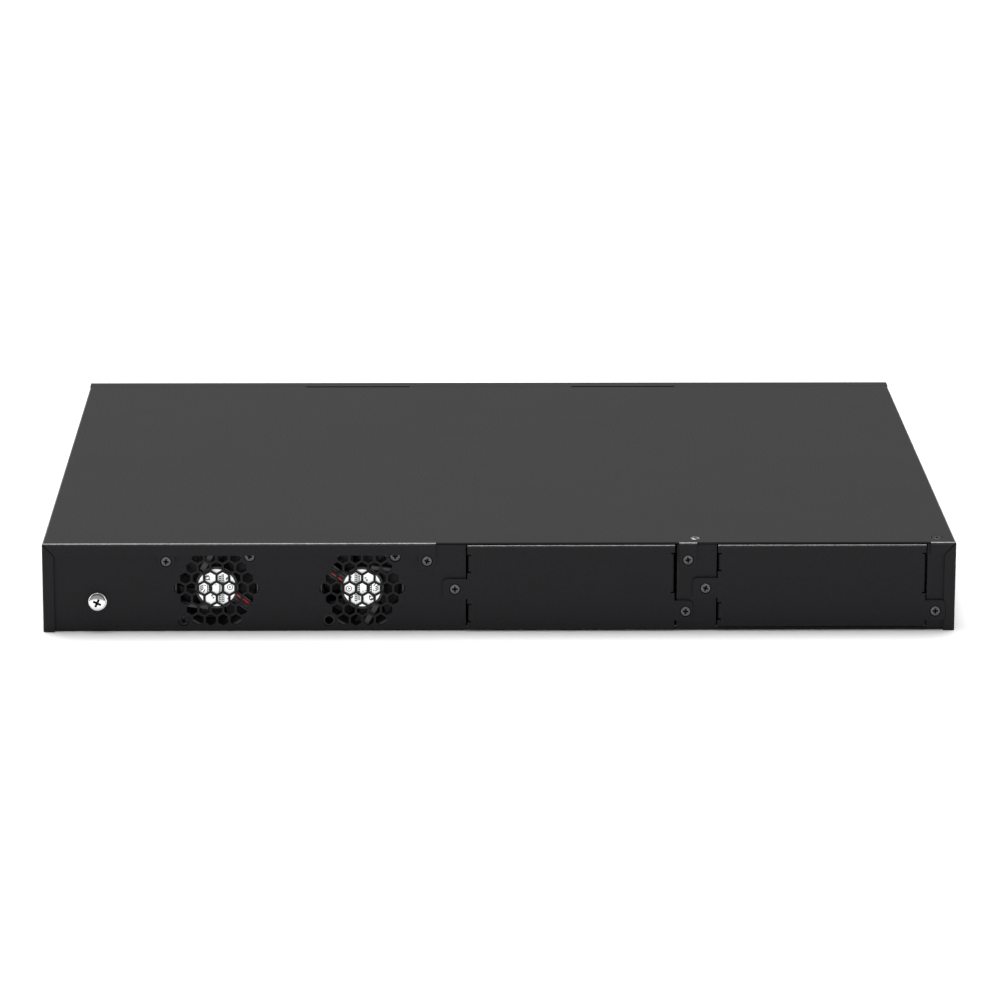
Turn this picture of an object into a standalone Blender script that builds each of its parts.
"""Rackmount network switch, one rack unit high. Metres, +Z up.

The ports face -Y and the fans face +Y. The origin is on the underside, at the middle of
the case. A place on the rear panel is given as "across", its distance to the right of
the middle as seen from behind, which is towards -X, and its height above the underside.
"""

import math

import bmesh
import bpy
from mathutils import Matrix, Vector

MM = 0.001

# The case.
WIDTH = 440 * MM
DEPTH = 350 * MM
HEIGHT = 44 * MM
TRAY_SHEET = 1.0 * MM
COVER_SHEET = 0.8 * MM
GAP = 0.3 * MM
BEND_RADIUS = 1.2 * MM

FRONT = -DEPTH / 2
REAR = DEPTH / 2
FLANGE_BACK = REAR - COVER_SHEET
WALL_REAR = FLANGE_BACK - GAP
WALL_FRONT = WALL_REAR - TRAY_SHEET
TRAY_HALF = WIDTH / 2 - COVER_SHEET - GAP
WALL_TOP = HEIGHT - COVER_SHEET - GAP
PANEL_BACK = FRONT + TRAY_SHEET
TOP_RETURN = 10 * MM
COVER_FRONT = FRONT + TOP_RETURN + GAP

# The cover's rear flanges, as across and height.
SIDE_FLANGE = 5.55 * MM
TOP_FLANGE_LOW = 38.0 * MM
TOP_FLANGE_END = -30.2 * MM
CORNER_FLANGE_START = 207.7 * MM
MITRE_WIDTH = 0.35 * MM
TAB_WIDTH = 8.5 * MM
COVER_SCREWS = ((-160.4 * MM, 35.1 * MM), (-35.0 * MM, 35.1 * MM), (90.65 * MM, 35.4 * MM))
TOP_SCREWS_ACROSS = (94.5 * MM, 211.4 * MM)
TOP_SCREW_Y = REAR - 9.6 * MM
TOP_TAB_DEPTH = 16 * MM
BAY_EDGE_SETBACK = 1.2 * MM
SEAM_SLOTS = ((-102 * MM, -45 * MM), (44 * MM, 101 * MM))
SEAM_SLOT_DEPTH = 2 * MM
AIR_SLOT_YS = [(-116 + 9 * step) * MM for step in range(10)]
AIR_SLOT_ENDS = (13 * MM, 32 * MM)
AIR_SLOT_RADIUS = 1.5 * MM
EAR_HOLE_YS = (-162 * MM, -138 * MM)
EAR_HOLE_ZS = (11 * MM, 33 * MM)

# The power-supply bays: left and right edge of the opening.
BAYS = ((-16.3 * MM, 85.5 * MM), (104.5 * MM, 206.3 * MM))
BAY_LOW = 1.5 * MM
BAY_FRONT = -14.8 * MM
BAY_CAGE_TOP = 41.5 * MM
BLANK_RETURN = 10 * MM
# Each blank's left, right and low edge.
BLANK_EDGES = ((-15.6 * MM, 84.3 * MM, 1.0 * MM), (105.1 * MM, 205.5 * MM, 2.2 * MM))
# Each blank's left and right tab: its outer end, its low and high edge, and its screw's place.
BLANK_TABS = (
    (
        (-27.4 * MM, 16.0 * MM, 26.2 * MM, -21.6 * MM, 21.1 * MM),
        (93.0 * MM, 5.1 * MM, 15.2 * MM, 89.75 * MM, 9.75 * MM),
    ),
    (
        (93.0 * MM, 16.4 * MM, 26.5 * MM, 99.25 * MM, 21.3 * MM),
        (215.4 * MM, 5.1 * MM, 15.1 * MM, 210.5 * MM, 9.7 * MM),
    ),
)
# The heights that each blank's left and right returns run between.
BLANK_RETURNS = (
    (((5.2 * MM, 13.1 * MM), (29.85 * MM, 37.55 * MM)), ((19.6 * MM, 38.3 * MM),)),
    (((6.1 * MM, 13.65 * MM), (30.5 * MM, 38.2 * MM)), ((19.25 * MM, 38.15 * MM),)),
)
RETURN_INSET = 0.4 * MM
RELIEF_LENGTH = 1.8 * MM
RELIEF_WIDTH = 0.7 * MM
TAB_CORNER = 1.6 * MM

# Screws.
HEAD_RADIUS = 2.75 * MM
HEAD_DEPTH = 1.25 * MM
SHANK_RADIUS = 1.5 * MM
SCREW_LENGTH = 5.5 * MM
CLEAR_RADIUS = 2.0 * MM
MOUTH_RADIUS = HEAD_RADIUS + GAP
GROUND = (-193.7 * MM, 15.1 * MM)
WASHER_RADIUS = 4.8 * MM
WASHER_SHEET = 0.6 * MM
PAN_RADIUS = 4.0 * MM
PAN_TALL = 2.4 * MM

# The fans: centre as across and height, and the turn of the frame about its axis.
FAN_SIZE = 40 * MM
FAN_DEPTH = 20 * MM
FAN_HEIGHT = 21.3 * MM
FAN_FLANGE = 3.5 * MM
FAN_CORNER = 2.5 * MM
FANS = ((-136.3 * MM, 0.0), (-66.3 * MM, math.pi))
FAN_REAR = WALL_FRONT - GAP
FAN_SCREW_PITCH = 32 * MM
FAN_SCREWS = ((0, 1, 1), (0, -1, -1), (1, 1, 1))
DUCT_RADIUS = 19 * MM
HUB_RADIUS = 10.5 * MM
DUCT_SIDES = 32
HUB_SIDES = 28
BORE_RADIUS = 1.15 * MM
SHAFT_RADIUS = 1.05 * MM
LABEL_RADIUS = 9.2 * MM
ROTOR_HUB_RADIUS = 10.0 * MM
BLADE_ROOT = 9.5 * MM
BLADE_RADIUS = 18.2 * MM
BLADE_COUNT = 7
HOLE_PITCH = 6.0 * MM
HOLE_FLATS = 4.9 * MM
GRILLE_ROWS = 7
LEAD_ANGLE = math.radians(38)
LEAD_OFFSET = 2.2 * MM
LEAD_TROUGH = 5.4 * MM
LEAD_RADIUS = 0.9 * MM
# Each lead in millimetres, from where it leaves its fan's side to its plug.
LEAD_ROUTES = (
    (
        (113.9, 170.6, 6.8),
        (112.7, 166.0, 6.3),
        (112.0, 156.0, 6.6),
        (112.0, 144.0, 9.5),
        (112.0, 132.0, 15.0),
        (112.0, 121.0, 21.0),
        (112.0, 114.5, 23.4),
        (112.0, 110.5, 20.8),
    ),
    (
        (88.7, 170.6, 35.6),
        (90.0, 166.0, 35.5),
        (91.4, 156.0, 33.6),
        (93.5, 144.0, 29.5),
        (95.5, 132.0, 26.0),
        (96.0, 121.0, 25.0),
        (96.0, 114.5, 24.4),
        (96.0, 110.5, 20.8),
    ),
)

# The boards and what stands on them.
SUPPORT_TOP = 6.2 * MM
BOARD_LOW = SUPPORT_TOP + GAP
BOARD_SHEET = 1.6 * MM
BOARD_TOP = BOARD_LOW + BOARD_SHEET
PART_LOW = BOARD_TOP + GAP
SUPPORTS = ((-205 * MM, -128 * MM), (205 * MM, -128 * MM), (-205 * MM, -34 * MM), (205 * MM, 108 * MM))
SUPPORT_FOOT = (4 * MM, 1 * MM)
SUPPORT_POST = 2.6 * MM
SUPPORT_NECK = 1.5 * MM
SUPPORT_HEAD = 1.2 * MM

BOARD_HALF = 212 * MM
BOARD_FRONT, BOARD_MIDDLE, BOARD_REAR = -170 * MM, -26 * MM, 120 * MM
BOARD_ARM = 30 * MM
CHIP_TALL = 2.6 * MM
SWITCH_CHIP = (0 * MM, -78 * MM, 18 * MM)
CPU_CHIP = (104 * MM, -60 * MM, 12 * MM)
PHY_CHIPS = [(x * MM, -79 * MM, 9 * MM) for x in (-138, -98, -58)]
SINK_LOW = PART_LOW + CHIP_TALL + GAP
# Low and high X, low and high Y, height, base thickness and number of fins.
SWITCH_SINK = (-34 * MM, 34 * MM, -108 * MM, -48 * MM, 22 * MM, 4 * MM, 12)
PHY_SINK = (-156 * MM, -40 * MM, -94 * MM, -64 * MM, 12 * MM, 3 * MM, 16)
POWER_BOARD = ((-205 * MM, -18.4 * MM, 4 * MM), (15 * MM, -16.8 * MM, 41 * MM))
POWER_WINDOW_MIDS = (-155 * MM, -35 * MM)
BOARD_LINK = ((-96 * MM, -40 * MM, PART_LOW), (-52 * MM, -18.8 * MM, 18 * MM))
BAY_SOCKET_HALF = 30 * MM
BAY_SOCKET_HEIGHTS = (6 * MM, 16 * MM)
BAY_SLOT_HALF = 27 * MM
BAY_SLOT_HEIGHTS = (9.8 * MM, 12.2 * MM)
HEADER = (3.8 * MM, 2.9 * MM, 3.2 * MM)
PLUG = (3.6 * MM, 2.4 * MM)
PLUG_TOP = 19.9 * MM

# The front panel.
FACE = FRONT + 0.2 * MM
PORT_PITCH = 14 * MM
PORT_COLUMNS = 6
PORT_WIDTH = 11.9 * MM
PORT_TALL = 7.0 * MM
PORT_DEPTH = 15 * MM
LATCH_WIDTH = 6.0 * MM
LATCH_TALL = 2.2 * MM
NOTCH_DEPTH = 12 * MM
PORT_ROW_OFFSET = 7.4 * MM
BLOCK_TALL = 27.4 * MM
BLOCK_MIDS = (-96 * MM, 0 * MM)
BLOCK_HALF = (PORT_COLUMNS * PORT_PITCH + 2 * MM) / 2
BLOCK_DEPTH = 30 * MM
SFP_MID = 82 * MM
SFP_PITCH = 15.4 * MM
SFP_COUNT = 4
SFP_TALL = 11.4 * MM
SFP_HALF = (SFP_COUNT * SFP_PITCH + 1.2 * MM) / 2
SFP_DEPTH = 48 * MM
CONSOLE_MID = -166 * MM
CONSOLE_HALF = 8 * MM
CONSOLE_TALL = 13.6 * MM
CONSOLE_DEPTH = 21 * MM
LENS_HEIGHT = 34 * MM
LENS_XS = [(-202 + 9 * step) * MM for step in range(4)]
VENT_XS = [(140 + 6 * step) * MM for step in range(10)]
VENT_ZS = [(16.8 + 5.2 * step) * MM for step in range(4)]
# Name, X, height, radius, front face and travel of each push button.
BUTTONS = (
    ("mode", -196 * MM, 15 * MM, 2.8 * MM, FRONT, 1.0 * MM),
    ("reset", -184 * MM, 15 * MM, 0.9 * MM, PANEL_BACK + 0.4 * MM, 0.6 * MM),
)


def new_material(name, colour, roughness, metallic=0.0):
    """A Principled BSDF with one colour."""
    made = bpy.data.materials.new(name)
    made.use_nodes = True
    shader = made.node_tree.nodes["Principled BSDF"]
    shader.inputs["Base Color"].default_value = (*colour, 1.0)
    shader.inputs["Roughness"].default_value = roughness
    shader.inputs["Metallic"].default_value = metallic
    return made


def from_mesh(name, shape):
    """An object made from a bmesh, with its faces pointing outwards."""
    bmesh.ops.recalc_face_normals(shape, faces=shape.faces)
    mesh = bpy.data.meshes.new(name)
    shape.to_mesh(mesh)
    shape.free()
    made = bpy.data.objects.new(name, mesh)
    MODEL.objects.link(made)
    return made


def box(name, low, high):
    """A box between two corners."""
    shape = bmesh.new()
    bmesh.ops.create_cube(shape, size=1.0)
    low, high = Vector(low), Vector(high)
    scale = Matrix.Diagonal((*(high - low), 1.0))
    bmesh.ops.transform(shape, matrix=Matrix.Translation((low + high) / 2) @ scale, verts=shape.verts)
    return from_mesh(name, shape)


def behind(name, left, right, low, high, front, rear):
    """A box given by its left and right edge as seen from behind, its heights and its Y range."""
    return box(name, (-right, front, low), (-left, rear, high))


def cone(name, start, end, start_radius, end_radius, sides=24):
    """A cylinder or cone from one point to another."""
    start, end = Vector(start), Vector(end)
    length = (end - start).length
    shape = bmesh.new()
    bmesh.ops.create_cone(
        shape, cap_ends=True, segments=sides, radius1=start_radius, radius2=end_radius, depth=length
    )
    turn = Vector((0, 0, 1)).rotation_difference(end - start).to_matrix().to_4x4()
    bmesh.ops.transform(shape, matrix=Matrix.Translation((start + end) / 2) @ turn, verts=shape.verts)
    return from_mesh(name, shape)


def cylinder(name, start, end, radius, sides=24):
    return cone(name, start, end, radius, radius, sides)


def arc(centre, radius, start, end, steps):
    """Points along an arc, by angle in degrees, both ends included."""
    angles = [math.radians(start + (end - start) * step / steps) for step in range(steps + 1)]
    return [(centre[0] + radius * math.cos(a), centre[1] + radius * math.sin(a)) for a in angles]


def prism(name, outline, axis, low, high):
    """An outline extruded along an axis: (y, z) for X, (x, z) for Y and (x, y) for Z."""
    curve = bpy.data.curves.new(name, "CURVE")
    curve.dimensions = "2D"
    curve.fill_mode = "BOTH"
    curve.extrude = (high - low) / 2
    spline = curve.splines.new("POLY")
    spline.points.add(len(outline) - 1)
    for point, (u, v) in zip(spline.points, outline):
        point.co = (u, v, 0, 1)
    spline.use_cyclic_u = True
    sketch = bpy.data.objects.new(name, curve)
    MODEL.objects.link(sketch)
    evaluated = sketch.evaluated_get(bpy.context.evaluated_depsgraph_get())
    mesh = bpy.data.meshes.new_from_object(evaluated)
    shape = bmesh.new()
    shape.from_mesh(mesh)
    bmesh.ops.remove_doubles(shape, verts=shape.verts, dist=0.00001)
    columns = {"X": ((0, 1, 0), (0, 0, 1), (1, 0, 0)), "Y": ((1, 0, 0), (0, 0, 1), (0, 1, 0))}
    if axis in columns:
        bmesh.ops.transform(shape, matrix=Matrix(columns[axis]).transposed().to_4x4(), verts=shape.verts)
    shift = Vector([(low + high) / 2 if letter == axis else 0.0 for letter in "XYZ"])
    bmesh.ops.translate(shape, vec=shift, verts=shape.verts)
    bpy.data.objects.remove(sketch, do_unlink=True)
    bpy.data.meshes.remove(mesh)
    bpy.data.curves.remove(curve)
    return from_mesh(name, shape)


def bar(name, start, end, width, low, high):
    """A straight bar between two (x, z) points, with its depth along Y."""
    start, end = Vector(start), Vector(end)
    along = (end - start).normalized()
    side = Vector((-along.y, along.x)) * width / 2
    outline = [start - side, end - side, end + side, start + side]
    return prism(name, [tuple(point) for point in outline], "Y", low, high)


def joined(name, pieces):
    """Separate closed shapes made into one cutter or one set to weld on."""
    shape = bmesh.new()
    for piece in pieces:
        piece.data.transform(piece.matrix_basis)
        shape.from_mesh(piece.data)
        bpy.data.objects.remove(piece, do_unlink=True)
    mesh = bpy.data.meshes.new(name)
    shape.to_mesh(mesh)
    shape.free()
    made = bpy.data.objects.new(name, mesh)
    MODEL.objects.link(made)
    return made


def boolean(target, tool, operation, solver):
    """Apply one Boolean and remove the tool.

    Folded sheets meet in shared planes, which only the manifold solver joins or cuts cleanly.
    """
    modifier = target.modifiers.new(operation.lower(), "BOOLEAN")
    modifier.operation = operation
    modifier.solver = solver
    modifier.object = tool
    evaluated = target.evaluated_get(bpy.context.evaluated_depsgraph_get())
    result = bpy.data.meshes.new_from_object(evaluated)
    target.modifiers.clear()
    target.data = result
    bpy.data.objects.remove(tool, do_unlink=True)
    return target


def cut(target, tools, solver="EXACT"):
    return boolean(target, joined("cutter", tools), "DIFFERENCE", solver)


def weld(target, tools):
    for tool in tools:
        boolean(target, tool, "UNION", "MANIFOLD")
    return target


def finish(made, material):
    """Give a piece its material and shade it."""
    made.data.name = made.name
    made.data.materials.clear()
    made.data.materials.append(material)
    if made.type == "MESH":
        made.data.shade_smooth()
        made.data.set_sharp_from_angle(angle=math.radians(30))
    return made


def place(made, location, turn=(0, 0, 0), parent=None):
    made.location = location
    made.rotation_euler = turn
    made.parent = parent
    return made


def countersink(across, height, face):
    """The hole for a countersunk screw in a sheet whose outer face looks to the rear."""
    ends = ((-across, face + 0.5 * MM, height), (-across, face - HEAD_DEPTH, height))
    return cone("countersink", *ends, MOUTH_RADIUS + 0.5 * MM, MOUTH_RADIUS - HEAD_DEPTH, 16)


def hexagon(name, x, z, front, rear, flats=HOLE_FLATS, outward=0):
    """A hexagonal hole with points up and down. A corner hole has one more point, outwards."""
    radius = flats / math.sqrt(3)
    outline = arc((x, z), radius, -90, 210, 5)
    if outward:
        outline.append((x + outward * (flats / 2 + 0.55 * MM), z))
        outline.sort(key=lambda point: math.atan2(point[1] - z, point[0] - x))
    return prism(name, outline, "Y", front, rear)


def grille_holes(across, height, front, rear):
    """Hexagonal holes in rows of four to seven and back, round one centre."""
    holes = []
    row_pitch = HOLE_PITCH * math.sqrt(3) / 2
    middle = GRILLE_ROWS // 2
    for row in range(-middle, middle + 1):
        count = GRILLE_ROWS - abs(row)
        for column in range(count):
            x = -across + (column - (count - 1) / 2) * HOLE_PITCH
            at_corner = abs(row) == middle and column in (0, count - 1)
            outward = (1 if column else -1) if at_corner else 0
            holes.append(hexagon("hole", x, height + row * row_pitch, front, rear, outward=outward))
    return holes


def cut_ports(target, ports):
    """Cut T-shaped jack mouths at (x, z, latch_up), each with its latch notch above or below."""
    mouths, notches = [], []
    for x, z, latch_up in ports:
        half, tall, notch = PORT_WIDTH / 2, PORT_TALL / 2, LATCH_WIDTH / 2
        low, high = (z, z + tall + LATCH_TALL) if latch_up else (z - tall - LATCH_TALL, z)
        mouths.append(box("mouth", (x - half, FACE - MM, z - tall), (x + half, FACE + PORT_DEPTH, z + tall)))
        notches.append(box("notch", (x - notch, FACE - MM, low), (x + notch, FACE + NOTCH_DEPTH, high)))
    return cut(cut(target, mouths), notches)


def base_tray():
    """Floor, front wall with a top return, and rear wall, folded from one sheet."""
    corner = (WALL_REAR - BEND_RADIUS, BEND_RADIUS)
    start = FRONT + TRAY_SHEET / 2
    outline = [(start, 0), *arc(corner, BEND_RADIUS, -90, 0, 4)]
    outline += [(WALL_REAR, WALL_TOP), (WALL_FRONT, WALL_TOP)]
    outline += [*arc(corner, BEND_RADIUS - TRAY_SHEET, 0, -90, 4), (start, TRAY_SHEET)]
    tray = prism("base_tray", outline, "X", -TRAY_HALF, TRAY_HALF)
    front = box("front", (-WIDTH / 2, FRONT, 0), (WIDTH / 2, PANEL_BACK, HEIGHT))
    lip_low = HEIGHT - TRAY_SHEET
    lip = box("lip", (-WIDTH / 2, FRONT, lip_low), (WIDTH / 2, FRONT + TOP_RETURN, HEIGHT))
    weld(tray, [weld(front, [lip])])
    bays = [behind("bay", left, right, BAY_LOW, HEIGHT, WALL_FRONT - 5 * MM, REAR) for left, right in BAYS]
    cut(tray, bays)
    divider = (BAYS[0][1] + GAP, BAYS[1][0] - GAP)
    strip = (BAYS[1][1] + GAP, TRAY_HALF)
    tabs = [
        behind("tab", left, right, WALL_TOP - TRAY_SHEET, WALL_TOP, REAR - TOP_TAB_DEPTH, WALL_REAR)
        for left, right in (divider, strip)
    ]
    weld(tray, [joined("tabs", tabs)])
    holes = []
    past = (WALL_FRONT - MM, WALL_REAR + MM)
    for across, _ in FANS:
        holes += grille_holes(across, FAN_HEIGHT, *past)
        for side, up in ((1, 1), (-1, -1)):
            step = FAN_SCREW_PITCH / 2
            holes.append(countersink(across + side * step, FAN_HEIGHT + up * step, WALL_REAR))
    plain = list(COVER_SCREWS) + [(tab[3], tab[4]) for pair in BLANK_TABS for tab in pair] + [GROUND]
    for across, height in plain:
        ends = ((-across, past[0], height), (-across, past[1], height))
        holes.append(cylinder("hole", *ends, CLEAR_RADIUS, 12))
    for across in TOP_SCREWS_ACROSS:
        ends = ((-across, TOP_SCREW_Y, HEIGHT - 5 * MM), (-across, TOP_SCREW_Y, HEIGHT))
        holes.append(cylinder("hole", *ends, CLEAR_RADIUS, 12))
    cut(tray, holes + front_holes())
    return finish(tray, COAT)


def front_holes():
    """The front wall's openings for the jacks, cage, lenses, buttons and air."""
    past = (FRONT - MM, PANEL_BACK + MM)
    windows = [(mid, BLOCK_HALF, BLOCK_TALL) for mid in BLOCK_MIDS]
    windows += [(SFP_MID, SFP_HALF, SFP_TALL), (CONSOLE_MID, CONSOLE_HALF, CONSOLE_TALL)]
    holes = []
    for mid, half, tall in windows:
        low = (mid - half - GAP, past[0], PART_LOW - GAP)
        high = (mid + half + GAP, past[1], PART_LOW + tall + GAP)
        holes.append(box("window", low, high))
    for x in LENS_XS:
        holes.append(cylinder("hole", (x, past[0], LENS_HEIGHT), (x, past[1], LENS_HEIGHT), 1.5 * MM, 12))
    for _, x, z, radius, _, _ in BUTTONS:
        holes.append(cylinder("hole", (x, past[0], z), (x, past[1], z), radius + 2 * GAP, 20))
    for row, z in enumerate(VENT_ZS):
        shift = HOLE_PITCH / 2 if row % 2 else 0
        holes += [hexagon("vent", x + shift, z, *past) for x in VENT_XS]
    return holes


def top_cover():
    """Top and both sides folded from one sheet, with flanges over the rear wall."""
    half = WIDTH / 2
    cover = box("top_cover", (-half, COVER_FRONT, HEIGHT - COVER_SHEET), (half, REAR, HEIGHT))
    for side in (-1, 1):
        inner, outer = sorted((side * (half - COVER_SHEET), side * half))
        weld(cover, [box("side", (inner, PANEL_BACK + GAP, 0), (outer, REAR, HEIGHT))])
        inner, outer = sorted((side * (half - SIDE_FLANGE), side * half))
        weld(cover, [box("flange", (inner, FLANGE_BACK, 0), (outer, REAR, HEIGHT))])
    edge = half - SIDE_FLANGE
    for left, right in ((-edge - MM, TOP_FLANGE_END), (CORNER_FLANGE_START, edge + MM)):
        weld(cover, [behind("flange", left, right, TOP_FLANGE_LOW, HEIGHT, FLANGE_BACK, REAR)])
    for across, height in COVER_SCREWS:
        radius = TAB_WIDTH / 2
        outline = arc((-across, height), radius, 180, 360, 12)
        outline += [(-across + radius, HEIGHT), (-across - radius, HEIGHT)]
        weld(cover, [prism("tab", outline, "Y", FLANGE_BACK, REAR)])
    step_low = HEIGHT - TRAY_SHEET - GAP
    step = box("step", (-half - MM, FRONT, step_low), (half + MM, COVER_FRONT, HEIGHT + MM))
    cut(cover, [step], "MANIFOLD")
    cutters = [countersink(across, height, REAR) for across, height in COVER_SCREWS]
    tab_end, tab_low, tab_high, _, _ = BLANK_TABS[1][1]
    around = (tab_end - TAB_WIDTH, tab_end + GAP, tab_low - GAP, tab_high + GAP)
    cutters.append(behind("notch", *around, FLANGE_BACK - MM, REAR + MM))
    for side in (-1, 1):
        start = (side * (edge - 0.6 * MM), TOP_FLANGE_LOW - 0.6 * MM)
        end = (side * (half - 0.7 * MM), HEIGHT - 0.7 * MM)
        cutters.append(bar("mitre", start, end, MITRE_WIDTH, FLANGE_BACK - 0.2 * MM, REAR + MM))
    for across in TOP_SCREWS_ACROSS:
        ends = ((-across, TOP_SCREW_Y, HEIGHT + 0.5 * MM), (-across, TOP_SCREW_Y, HEIGHT - HEAD_DEPTH))
        cutters.append(cone("countersink", *ends, MOUTH_RADIUS + 0.5 * MM, MOUTH_RADIUS - HEAD_DEPTH, 16))
    tab_left, tab_right = (COVER_SCREWS[2][0] + side * TAB_WIDTH / 2 for side in (-1, 1))
    for left, right in ((TOP_FLANGE_END, tab_left), (tab_right, CORNER_FLANGE_START)):
        cutters.append(behind("edge", left, right, WALL_TOP, HEIGHT + MM, REAR - BAY_EDGE_SETBACK, REAR + MM))
    for left, right in SEAM_SLOTS:
        rear = COVER_FRONT + SEAM_SLOT_DEPTH
        cutters.append(box("slot", (left, COVER_FRONT - MM, HEIGHT - 2 * MM), (right, rear, HEIGHT + MM)))
    cutters += side_holes()
    cut(cover, cutters, "MANIFOLD")
    return finish(cover, COAT)


def side_holes():
    """Air slots and rack-ear screw holes, right through both sides."""
    half = WIDTH / 2
    holes = []
    for side in (-1, 1):
        inner, outer = sorted((side * (half - 2 * MM), side * (half + MM)))
        for y in AIR_SLOT_YS:
            low, high = AIR_SLOT_ENDS
            outline = arc((y, high), AIR_SLOT_RADIUS, 0, 180, 3)
            outline += arc((y, low), AIR_SLOT_RADIUS, 180, 360, 3)
            holes.append(prism("slot", outline, "X", inner, outer))
        for y in EAR_HOLE_YS:
            for z in EAR_HOLE_ZS:
                holes.append(cylinder("hole", (inner, y, z), (outer, y, z), 1.8 * MM, 10))
    return holes


def bay_blank(number, edges, tabs, returns):
    """A plate over one bay, with two screw tabs and folded side returns."""
    left, right, low = edges
    top = HEIGHT - COVER_SHEET - 0.35 * MM
    blank = behind(f"bay_blank_{number}", left, right, low, top, FLANGE_BACK, REAR)
    (left_end, left_low, left_high, *left_screw), (right_end, right_low, right_high, *right_screw) = tabs
    r = TAB_CORNER
    x0, x1 = -left - MM, -left_end
    outline = [(x0, left_low), *arc((x1 - r, left_low + r), r, -90, 0, 4)]
    outline += [*arc((x1 - r, left_high - r), r, 0, 90, 4), (x0, left_high)]
    pieces = [prism("tab", outline, "Y", FLANGE_BACK, REAR)]
    x0, x1 = -right + MM, -right_end
    outline = [(x0, right_high), *arc((x1 + r, right_high - r), r, 90, 180, 4)]
    outline += [*arc((x1 + r, right_low + r), r, 180, 270, 4), (x0, right_low)]
    pieces.append(prism("tab", outline, "Y", FLANGE_BACK, REAR))
    inner = FLANGE_BACK - BLANK_RETURN
    roof = (left + RELIEF_LENGTH, right - RELIEF_LENGTH, top - COVER_SHEET, top, inner, REAR - 0.1 * MM)
    pieces.append(behind("return", *roof))
    cuts = [countersink(*left_screw, REAR), countersink(*right_screw, REAR)]
    for side, edge, ranges in ((1, left, returns[0]), (-1, right, returns[1])):
        folded = edge + side * RETURN_INSET
        sheet = sorted((folded, folded + side * COVER_SHEET))
        for bottom, height in ranges:
            pieces.append(behind("return", *sheet, bottom, height, inner, REAR - 0.1 * MM))
            cuts.append(relief(side, edge, folded, bottom, height))
    weld(blank, pieces)
    cut(blank, cuts)
    return finish(blank, COAT)


def relief(side, edge, folded, bottom, height):
    """What is cut away round one return: a slot above and below it, and the plate's edge between."""
    outside, deep = edge - side * MM, edge + side * RELIEF_LENGTH
    low, high = bottom - RELIEF_WIDTH, height + RELIEF_WIDTH
    outline = [(outside, low), (deep, low), (deep, bottom), (folded, bottom), (folded, height)]
    outline += [(deep, height), (deep, high), (outside, high)]
    return prism("relief", [(-across, z) for across, z in outline], "Y", FLANGE_BACK - MM, REAR + MM)


def bay_cage(number, bay):
    """The U-shaped guide inside one bay."""
    left, right = bay
    low = TRAY_SHEET + GAP
    rear = WALL_FRONT - GAP
    outer, inner = (-right - COVER_SHEET, -left + COVER_SHEET), (-right, -left)
    outline = [(outer[0], low), (outer[1], low), (outer[1], BAY_CAGE_TOP), (inner[1], BAY_CAGE_TOP)]
    outline += [(inner[1], low + COVER_SHEET), (inner[0], low + COVER_SHEET)]
    outline += [(inner[0], BAY_CAGE_TOP), (outer[0], BAY_CAGE_TOP)]
    return finish(prism(f"bay_cage_{number}", outline, "Y", BAY_FRONT, rear), STEEL)


def cross_recess(face, size, depth):
    """The two crossing slots of a Phillips recess, on a screw whose head looks along +Y."""
    half, thin = size / 2, size / 7
    first = box("recess", (-half, face - depth, -thin), (half, face + MM, thin))
    second = box("recess", (-thin, face - depth, -half), (thin, face + MM, half))
    return [weld(first, [second])]


def countersunk_screw(name, location, turn=0.0):
    """A countersunk machine screw, head flush with the origin and looking along +Y."""
    screw = cone(name, (0, 0, 0), (0, -HEAD_DEPTH, 0), HEAD_RADIUS, SHANK_RADIUS, 16)
    start = -HEAD_DEPTH + 0.2 * MM
    shank = cylinder("shank", (0, start, 0), (0, -SCREW_LENGTH, 0), SHANK_RADIUS - 0.05 * MM, 8)
    weld(screw, [shank])
    cut(screw, cross_recess(0, 2.9 * MM, 0.9 * MM))
    return finish(place(screw, location, (turn, 0, 0)), BLACK_STEEL)


def screws():
    for number, (across, height) in enumerate(COVER_SCREWS, 1):
        countersunk_screw(f"cover_screw_{number}", (-across, REAR, height))
    for number, across in enumerate(TOP_SCREWS_ACROSS, len(COVER_SCREWS) + 1):
        countersunk_screw(f"cover_screw_{number}", (-across, TOP_SCREW_Y, HEIGHT), math.pi / 2)
    tabs = [tab for pair in BLANK_TABS for tab in pair]
    for number, (_, _, _, across, height) in enumerate(tabs, 1):
        countersunk_screw(f"blank_screw_{number}", (-across, REAR, height))
    for number, (fan, side, up) in enumerate(FAN_SCREWS, 1):
        across = FANS[fan][0] + side * FAN_SCREW_PITCH / 2
        height = FAN_HEIGHT + up * FAN_SCREW_PITCH / 2
        countersunk_screw(f"fan_screw_{number}", (-across, WALL_REAR, height))


def ground_screw():
    """A pan-head screw with a washer, for the earth lead."""
    across, height = GROUND
    face = WALL_REAR + GAP
    washer = cylinder("ground_washer", (0, 0, 0), (0, WASHER_SHEET, 0), WASHER_RADIUS, 24)
    cut(washer, [cylinder("bore", (0, -MM, 0), (0, 2 * MM, 0), CLEAR_RADIUS, 16)])
    finish(place(washer, (-across, face, height)), ZINC)
    low = WASHER_SHEET + GAP
    screw = cylinder("ground_screw", (0, low, 0), (0, low + 1.2 * MM, 0), PAN_RADIUS, 20)
    crown = cone("crown", (0, low + 1.1 * MM, 0), (0, low + PAN_TALL, 0), PAN_RADIUS, 2.6 * MM, 20)
    shank = cylinder("shank", (0, low + 0.5 * MM, 0), (0, -7 * MM, 0), 1.7 * MM, 12)
    weld(screw, [crown, shank])
    cut(screw, cross_recess(low + PAN_TALL, 4.4 * MM, 1.5 * MM))
    finish(place(screw, (-across, face, height)), ZINC)


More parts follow.
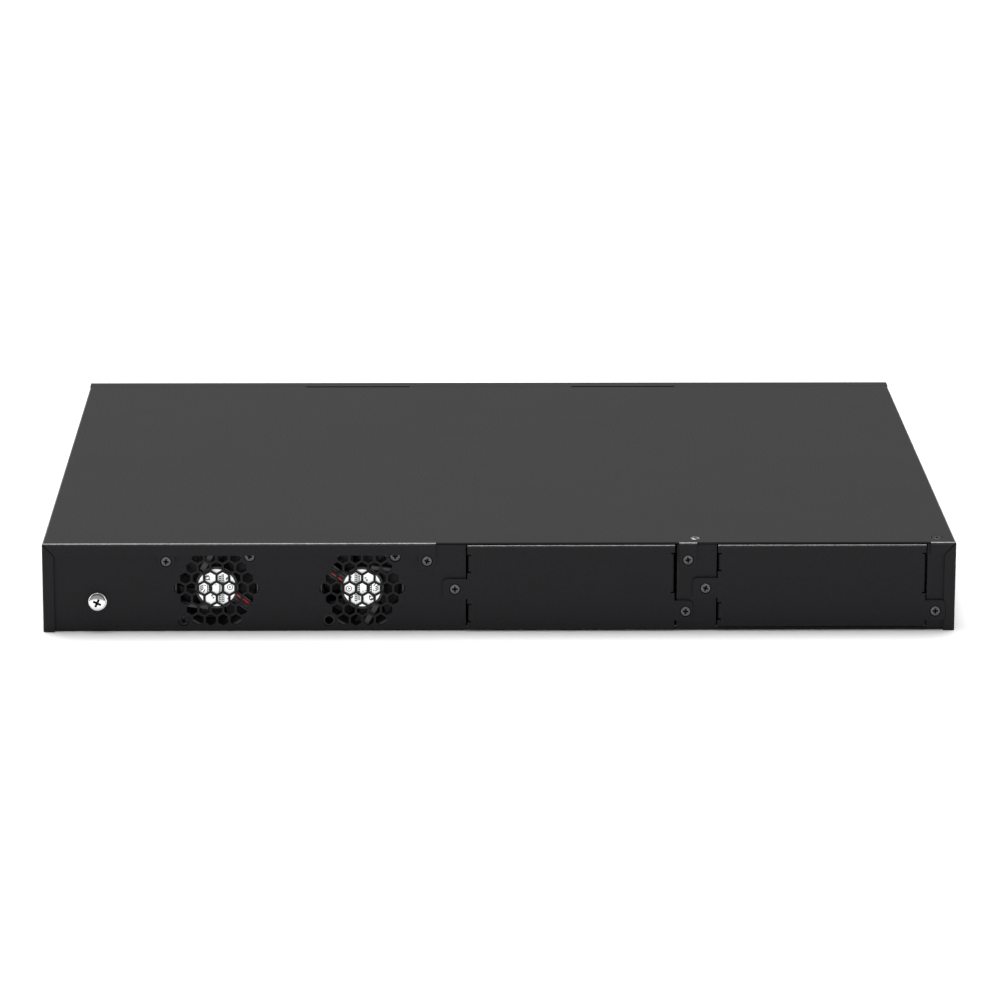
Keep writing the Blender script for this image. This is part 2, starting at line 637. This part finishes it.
def trough_directions():
    """The way that the lead's trough runs from the hub, as (x, z), and its offset to one side."""
    along = Vector((-math.cos(LEAD_ANGLE), -math.sin(LEAD_ANGLE)))
    return along, Vector((along.y, -along.x)) * LEAD_OFFSET


def fan_frame(number, parent):
    """Square housing with a round duct, three struts, the motor base and its bearing tube.

    The lead's strut is a trough, so that the lead lies in it.
    """
    half = FAN_SIZE / 2
    outline = []
    for quarter in range(4):
        angle = 90 * quarter
        x = (half - FAN_CORNER) * (1 if quarter in (0, 3) else -1)
        z = (half - FAN_CORNER) * (1 if quarter in (0, 1) else -1)
        outline += arc((x, z), FAN_CORNER, angle, angle + 90, 3)
    frame = prism(f"fan_{number}_frame", outline, "Y", -FAN_FLANGE, 0)
    front = prism("flange", outline, "Y", -FAN_DEPTH, FAN_FLANGE - FAN_DEPTH)
    tube = cylinder("tube", (0, -FAN_DEPTH + MM, 0), (0, -MM, 0), half - 0.1 * MM, DUCT_SIDES)
    weld(frame, [tube, front])
    cuts = [cylinder("duct", (0, -FAN_DEPTH - MM, 0), (0, MM, 0), DUCT_RADIUS, DUCT_SIDES)]
    step = FAN_SCREW_PITCH / 2
    for x in (-step, step):
        for z in (-step, step):
            cuts.append(cylinder("hole", (x, -FAN_DEPTH - MM, z), (x, MM, z), 2.15 * MM, 8))
    cut(frame, cuts)
    base = cylinder("base", (0, -2.6 * MM, 0), (0, -0.1 * MM, 0), HUB_RADIUS, HUB_SIDES)
    cut(base, [cylinder("recess", (0, -0.8 * MM, 0), (0, MM, 0), 9.6 * MM, HUB_SIDES)])
    weld(base, [cylinder("bearing", (0, -14 * MM, 0), (0, -2 * MM, 0), 2.6 * MM, 16)])
    cut(base, [cylinder("bore", (0, -15 * MM, 0), (0, -4 * MM, 0), BORE_RADIUS, 16)])
    rim = DUCT_RADIUS + 0.5 * MM
    narrow = (-2.4 * MM, -0.6 * MM)
    along, aside = trough_directions()
    trough = bar("strut", along * 9 * MM + aside, along * rim + aside, LEAD_TROUGH, *narrow)
    struts = [
        bar("strut", (7.0 * MM, 8.6 * MM), (0.6 * MM, rim), 3.0 * MM, *narrow),
        bar("strut", (4.3 * MM, -10.0 * MM), (17.0 * MM, -8.2 * MM), 2.4 * MM, *narrow),
        trough,
    ]
    weld(base, struts)
    weld(frame, [base])
    ends = (along * 9.9 * MM + aside, along * 26 * MM + aside)
    cut(frame, [bar("groove", *ends, LEAD_TROUGH - 1.2 * MM, -2.0 * MM, MM)])
    return finish(place(frame, (0, 0, 0), parent=parent), BLACK_PLASTIC)


def blade(index):
    """One twisted blade: a strip from the hub to the tip, thickened."""
    shape = bmesh.new()
    chordwise = 4
    grid = []
    for reach in (0, 1):
        radius = BLADE_ROOT + (BLADE_RADIUS - BLADE_ROOT) * reach
        row = []
        for j in range(chordwise + 1):
            t = j / chordwise
            angle = math.tau * index / BLADE_COUNT + math.radians(8 * reach + 42 * t - 10 * t * (1 - t))
            y = (-17.0 + 12.0 * t) * MM
            row.append(shape.verts.new((radius * math.cos(angle), y, radius * math.sin(angle))))
        grid.append(row)
    root, tip = grid
    for j in range(chordwise):
        shape.faces.new((root[j], root[j + 1], tip[j + 1], tip[j]))
    made = from_mesh("blade", shape)
    solidify = made.modifiers.new("thickness", "SOLIDIFY")
    solidify.thickness = 0.8 * MM
    solidify.offset = 0
    evaluated = made.evaluated_get(bpy.context.evaluated_depsgraph_get())
    mesh = bpy.data.meshes.new_from_object(evaluated)
    made.modifiers.clear()
    made.data = mesh
    return made


def fan_rotor(number, parent):
    """Hub cup with its shaft and seven blades."""
    ends = ((0, -18.5 * MM, 0), (0, -3.4 * MM, 0))
    rotor = cylinder(f"fan_{number}_rotor", *ends, ROTOR_HUB_RADIUS, HUB_SIDES)
    cut(rotor, [cylinder("cup", (0, -17.3 * MM, 0), (0, 0, 0), ROTOR_HUB_RADIUS - 1.1 * MM, HUB_SIDES)])
    weld(rotor, [cylinder("shaft", (0, -17.8 * MM, 0), (0, -5 * MM, 0), SHAFT_RADIUS, 16)])
    weld(rotor, [joined("blades", [blade(index) for index in range(BLADE_COUNT)])])
    return finish(place(rotor, (0, 0, 0), parent=parent), BLACK_PLASTIC)


def fan(number, across, turn):
    """One fan, its parts parented to an empty on its axis at its rear face."""
    axle = bpy.data.objects.new(f"fan_{number}_axis", None)
    MODEL.objects.link(axle)
    place(axle, (-across, FAN_REAR, FAN_HEIGHT), (0, turn, 0))
    fan_frame(number, axle)
    fan_rotor(number, axle)
    stator = cylinder(f"fan_{number}_stator", (0, -13.2 * MM, 0), (0, -5.6 * MM, 0), 7.8 * MM, 18)
    cut(stator, [cylinder("bore", (0, -16 * MM, 0), (0, 0, 0), 3.0 * MM, 16)])
    finish(place(stator, (0, 0, 0), parent=axle), COPPER)
    label = cylinder(f"fan_{number}_label", (0, -0.5 * MM, 0), (0, -0.2 * MM, 0), LABEL_RADIUS, HUB_SIDES)
    finish(place(label, (0, 0, 0), parent=axle), PAPER)


def smooth_route(points, steps):
    """A Catmull-Rom curve through the points."""
    points = [Vector(point) for point in points]
    padded = [2 * points[0] - points[1], *points, 2 * points[-1] - points[-2]]
    route = []
    for a, b, c, d in zip(padded, padded[1:], padded[2:], padded[3:]):
        for step in range(steps):
            t = step / steps
            curve = 2 * b + (c - a) * t + (2 * a - 5 * b + 4 * c - d) * t**2
            route.append((curve + (3 * b - 3 * c + d - a) * t**3) / 2)
    return [*route, points[-1]]


def lead(number, route):
    """The captive lead of one fan, as one round bundle."""
    curve = bpy.data.curves.new(f"fan_{number}_lead", "CURVE")
    curve.dimensions = "3D"
    curve.bevel_depth = LEAD_RADIUS
    curve.bevel_resolution = 2
    curve.use_fill_caps = True
    spline = curve.splines.new("POLY")
    points = smooth_route(route, 3)
    spline.points.add(len(points) - 1)
    for point, co in zip(spline.points, points):
        point.co = (*co, 1)
    made = bpy.data.objects.new(f"fan_{number}_lead", curve)
    MODEL.objects.link(made)
    return finish(made, RED_WIRE)


def trough_points(across, turn):
    """Where a lead lies in its trough, from the hub to just outside the frame."""
    along, aside = trough_directions()
    sense = -1 if turn else 1
    points = []
    for reach in (10.4 * MM, 17.0 * MM, 24.6 * MM):
        x, z = sense * (along * reach + aside)
        points.append((-across + x, FAN_REAR - 0.95 * MM, FAN_HEIGHT + z))
    return points


def fan_wiring():
    for number, (fan_place, route) in enumerate(zip(FANS, LEAD_ROUTES), 1):
        points = [Vector(point) for point in trough_points(*fan_place)]
        points += [Vector(point) * MM for point in route]
        lead(number, points)
        x, y, _ = points[-1]
        half_x, half_y, tall = HEADER
        low, high = PART_LOW, PART_LOW + tall
        header = box(f"fan_{number}_header", (x - half_x, y - half_y, low), (x + half_x, y + half_y, high))
        finish(header, WHITE_PLASTIC)
        half_x, half_y = PLUG
        low, high = high + GAP, PLUG_TOP
        plug = box(f"fan_{number}_plug", (x - half_x, y - half_y, low), (x + half_x, y + half_y, high))
        finish(plug, WHITE_PLASTIC)


def main_board():
    """L-shaped circuit board, clear of the power-supply bays."""
    outline = [(-BOARD_HALF, BOARD_FRONT), (BOARD_HALF, BOARD_FRONT), (BOARD_HALF, BOARD_REAR)]
    outline += [(BOARD_ARM, BOARD_REAR), (BOARD_ARM, BOARD_MIDDLE), (-BOARD_HALF, BOARD_MIDDLE)]
    board = prism("main_board", outline, "Z", BOARD_LOW, BOARD_TOP)
    hole = SUPPORT_NECK + GAP
    cut(board, [cylinder("hole", (x, y, 0), (x, y, 20 * MM), hole, 12) for x, y in SUPPORTS])
    finish(board, LAMINATE)


def board_support(number, x, y):
    """A nylon post on a stuck-down foot. Its head snaps through a hole in the board."""
    foot_radius, foot_tall = SUPPORT_FOOT
    foot_low = TRAY_SHEET + GAP
    head_top = PART_LOW + SUPPORT_HEAD
    ends = ((x, y, foot_low + foot_tall / 2), (x, y, PART_LOW + SUPPORT_HEAD / 2))
    support = cylinder(f"board_support_{number}", *ends, SUPPORT_NECK, 16)
    foot = cylinder("foot", (x, y, foot_low), (x, y, foot_low + foot_tall), foot_radius, 24)
    post = cylinder("post", (x, y, foot_low + foot_tall / 2), (x, y, SUPPORT_TOP), SUPPORT_POST, 16)
    head = cylinder("head", (x, y, PART_LOW), (x, y, head_top), SUPPORT_POST, 16)
    return finish(weld(support, [foot, post, head]), WHITE_PLASTIC)


def chip(name, x, y, half):
    """One square chip on the board."""
    low, high = (x - half, y - half, PART_LOW), (x + half, y + half, PART_LOW + CHIP_TALL)
    return finish(box(name, low, high), CHIP)


def heatsink(name, x0, x1, y0, y1, tall, base, fins):
    """A base plate over the chips with fins along Y, as one comb outline."""
    low, high = SINK_LOW, SINK_LOW + tall
    pitch = (x1 - x0) / (fins - 0.5)
    outline = [(x0, low), (x1, low)]
    for index in reversed(range(fins)):
        left = x0 + index * pitch
        outline += [(left + pitch / 2, high), (left, high)]
        if index:
            outline += [(left, low + base), (left - pitch / 2, low + base)]
    return finish(prism(name, outline, "Y", y0, y1), ALUMINIUM)


def bay_connector(number, bay):
    """The socket that a power supply's card edge goes into."""
    left, right = bay
    mid = -(left + right) / 2
    front, rear = POWER_BOARD[1][1] + GAP, BAY_FRONT + 9 * MM
    low, high = BAY_SOCKET_HEIGHTS
    ends = ((mid - BAY_SOCKET_HALF, front, low), (mid + BAY_SOCKET_HALF, rear, high))
    socket = box(f"bay_connector_{number}", *ends)
    low, high = BAY_SLOT_HEIGHTS
    slot = box("slot", (mid - BAY_SLOT_HALF, rear - 7 * MM, low), (mid + BAY_SLOT_HALF, rear + MM, high))
    return finish(cut(socket, [slot]), BLACK_PLASTIC)


def electronics():
    """Chips, heatsinks, the upright power board and the sockets of the bays."""
    chip("switch_chip", *SWITCH_CHIP)
    chip("cpu_chip", *CPU_CHIP)
    for number, settings in enumerate(PHY_CHIPS, 1):
        chip(f"phy_chip_{number}", *settings)
    heatsink("switch_heatsink", *SWITCH_SINK)
    heatsink("phy_heatsink", *PHY_SINK)
    windows = [
        box("window", (mid - 40 * MM, -20 * MM, 24 * MM), (mid + 40 * MM, -10 * MM, 36 * MM))
        for mid in POWER_WINDOW_MIDS
    ]
    finish(cut(box("power_board", *POWER_BOARD), windows), LAMINATE)
    for number, bay in enumerate(BAYS, 1):
        bay_connector(number, bay)
    finish(box("board_link", *BOARD_LINK), WHITE_PLASTIC)


def port_block(number, mid):
    """Stacked jack block: two rows of six, latches outwards."""
    low, high = PART_LOW, PART_LOW + BLOCK_TALL
    ends = ((mid - BLOCK_HALF, FACE, low), (mid + BLOCK_HALF, FACE + BLOCK_DEPTH, high))
    block = box(f"port_block_{number}", *ends)
    centre = PART_LOW + BLOCK_TALL / 2
    ports = []
    for column in range(PORT_COLUMNS):
        x = mid + (column - (PORT_COLUMNS - 1) / 2) * PORT_PITCH
        ports += [(x, centre + PORT_ROW_OFFSET, True), (x, centre - PORT_ROW_OFFSET, False)]
    return finish(cut_ports(block, ports), NICKEL)


def sfp_cage():
    """A row of four transceiver cages."""
    low, high = PART_LOW, PART_LOW + SFP_TALL
    cage = box("sfp_cage", (SFP_MID - SFP_HALF, FACE, low), (SFP_MID + SFP_HALF, FACE + SFP_DEPTH, high))
    mouths = []
    for index in range(SFP_COUNT):
        x = SFP_MID + (index - (SFP_COUNT - 1) / 2) * SFP_PITCH
        low = PART_LOW + 1.2 * MM
        mouths.append(box("mouth", (x - 7 * MM, FACE - MM, low), (x + 7 * MM, FACE + 45 * MM, low + 9 * MM)))
    return finish(cut(cage, mouths), NICKEL)


def console_jack():
    """A single jack for the serial console."""
    low, high = PART_LOW, PART_LOW + CONSOLE_TALL
    left, right = CONSOLE_MID - CONSOLE_HALF, CONSOLE_MID + CONSOLE_HALF
    jack = box("console_jack", (left, FACE, low), (right, FACE + CONSOLE_DEPTH, high))
    return finish(cut_ports(jack, [(CONSOLE_MID, (low + high) / 2 + MM, False)]), NICKEL)


def status_lens():
    """The light pipe: one bar behind the panel with a lens through each hole."""
    back = PANEL_BACK + 3 * MM
    lens = box(
        "status_lens",
        (LENS_XS[0] - 3 * MM, back, LENS_HEIGHT - 2 * MM),
        (LENS_XS[-1] + 3 * MM, back + 4 * MM, LENS_HEIGHT + 2 * MM),
    )
    for x in LENS_XS:
        weld(lens, [cylinder("rod", (x, FACE, LENS_HEIGHT), (x, back + MM, LENS_HEIGHT), 1.2 * MM, 12)])
    return finish(lens, CLEAR_PLASTIC)


def push_button(name, x, z, radius, face, travel):
    """A sprung button and the switch body that its stem slides in."""
    stem_end = PANEL_BACK + 6.5 * MM
    front = PANEL_BACK + 3.6 * MM
    ends = ((0, face - FRONT, 0), (0, PANEL_BACK + 1.6 * MM - FRONT, 0))
    button = cylinder(f"{name}_button", *ends, radius, 24)
    stem_radius = min(radius, 1.3 * MM)
    ends = ((0, PANEL_BACK + MM - FRONT, 0), (0, stem_end - FRONT, 0))
    stem = cylinder("stem", *ends, stem_radius - 0.05 * MM, 16)
    weld(button, [stem])
    finish(place(button, (x, FRONT, z)), GREY_PLASTIC)
    rear = stem_end + travel + MM
    ends = ((x - 3.5 * MM, front, PART_LOW), (x + 3.5 * MM, rear + 1.5 * MM, z + 4 * MM))
    body = box(f"{name}_switch", *ends)
    bore = cylinder("bore", (x, front - MM, z), (x, rear, z), stem_radius + GAP, 16)
    finish(cut(body, [bore]), BLACK_PLASTIC)


for item in list(bpy.data.objects):
    bpy.data.objects.remove(item, do_unlink=True)
MODEL = bpy.data.collections.new("network_switch")
bpy.context.scene.collection.children.link(MODEL)

COAT = new_material("powder_coat", (0.022, 0.021, 0.024), 0.5)
STEEL = new_material("plated_steel", (0.55, 0.56, 0.57), 0.35, 1.0)
ZINC = new_material("zinc", (0.75, 0.74, 0.72), 0.25, 1.0)
BLACK_STEEL = new_material("black_steel", (0.035, 0.034, 0.036), 0.35, 0.6)
NICKEL = new_material("nickel", (0.62, 0.61, 0.58), 0.3, 1.0)
ALUMINIUM = new_material("aluminium", (0.7, 0.71, 0.72), 0.35, 1.0)
COPPER = new_material("windings", (0.55, 0.25, 0.12), 0.4, 0.8)
BLACK_PLASTIC = new_material("black_plastic", (0.03, 0.03, 0.032), 0.45)
GREY_PLASTIC = new_material("grey_plastic", (0.25, 0.25, 0.26), 0.5)
WHITE_PLASTIC = new_material("white_plastic", (0.8, 0.79, 0.74), 0.45)
CLEAR_PLASTIC = new_material("clear_plastic", (0.8, 0.85, 0.85), 0.15)
LAMINATE = new_material("circuit_board", (0.02, 0.16, 0.07), 0.4)
CHIP = new_material("chip_resin", (0.025, 0.025, 0.027), 0.6)
PAPER = new_material("label", (0.85, 0.86, 0.86), 0.55)
RED_WIRE = new_material("wire", (0.55, 0.02, 0.02), 0.4)

base_tray()
top_cover()
for index, opening in enumerate(BAYS, 1):
    bay_cage(index, opening)
for index, outline in enumerate(zip(BLANK_EDGES, BLANK_TABS, BLANK_RETURNS), 1):
    bay_blank(index, *outline)
screws()
ground_screw()
for index, (place_across, frame_turn) in enumerate(FANS, 1):
    fan(index, place_across, frame_turn)
fan_wiring()
main_board()
for index, (board_x, board_y) in enumerate(SUPPORTS, 1):
    board_support(index, board_x, board_y)
electronics()
for index, block_mid in enumerate(BLOCK_MIDS, 1):
    port_block(index, block_mid)
sfp_cage()
console_jack()
status_lens()
for settings in BUTTONS:
    push_button(*settings)
